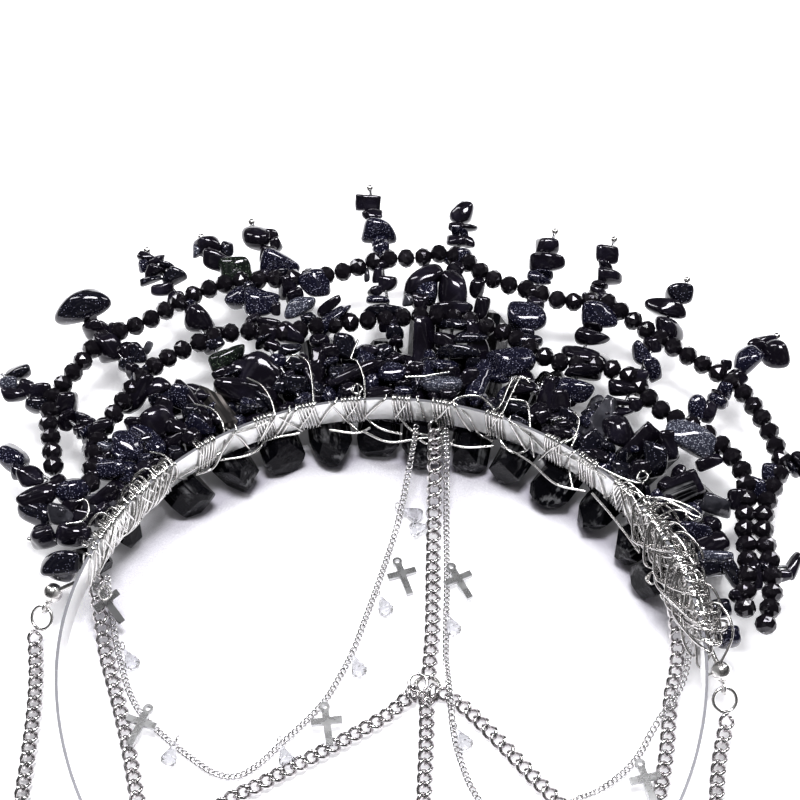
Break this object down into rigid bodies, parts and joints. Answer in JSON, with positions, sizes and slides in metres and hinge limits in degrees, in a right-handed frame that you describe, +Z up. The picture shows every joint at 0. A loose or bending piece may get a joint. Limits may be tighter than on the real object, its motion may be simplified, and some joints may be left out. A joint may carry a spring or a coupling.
{
  "type": "crystal headband",
  "caption": "Halo headband: a flat metal strip wound with wire, lashed black crystals, spikes of threaded stones, bead strings and draped chains with crosses.",
  "frame": {"origin": "point on the table under the crown of the strip's centre line, on the flat on which the crown crystal rests", "axes": "+X to the right as pictured, +Y away from the strip's open ends, +Z up from the table"},
  "size_m": [0.189, 0.2154, 0.0171],
  "materials": {
    "strip": "polished silver-coloured strip, with the bead fittings at its ends",
    "wire": "bright soft wire, wound by hand",
    "crystal": "glossy black mineral with fine striations",
    "smoky_crystal": "grey-brown smoky mineral, satin",
    "stone": "polished blue-black tumbled stone with fine glitter",
    "bead": "faceted glossy black glass",
    "thread": "thin wire",
    "chain": "polished silver-coloured links",
    "cross": "smooth grey metal, slightly dull"
  },
  "bodies": {
    "root": {"band": "strip", "headpins": "wire", "crystal_1": "crystal", "crystal_2": "crystal", "crystal_3": "crystal", "crystal_4": "crystal", "crystal_5": "crystal", "crystal_6": "crystal", "crystal_7": "crystal", "crystal_8": "crystal", "crystal_9": "crystal", "crystal_10": "crystal", "crystal_11": "crystal", "crystal_12": "crystal", "crystal_13": "crystal", "crystal_14": "crystal", "crystal_15": "smoky_crystal", "crystal_16": "smoky_crystal", "crystal_17": "crystal", "crystal_18": "crystal", "accent_stones": "stone", "spike_1": "stone", "spike_2": "stone", "spike_3": "stone", "spike_4": "stone", "spike_5": "stone", "spike_6": "stone", "spike_7": "stone", "spike_8": "stone", "spike_9": "stone", "spike_10": "stone", "spike_11": "stone", "spike_12": "stone", "spike_13": "stone", "spike_14": "stone", "spike_15": "stone", "outer_beads": "bead", "inner_beads": "bead", "outer_thread": "thread", "inner_thread": "thread", "centre_chain": "chain", "left_swag": "chain", "right_swag": "chain", "down_chain": "chain", "back_chain": "chain", "left_fine_chain": "chain", "right_fine_chain": "chain", "rings": "chain", "left_end_fitting": "strip", "right_end_fitting": "strip", "crosses": "cross"}
  },
  "joints": []
}
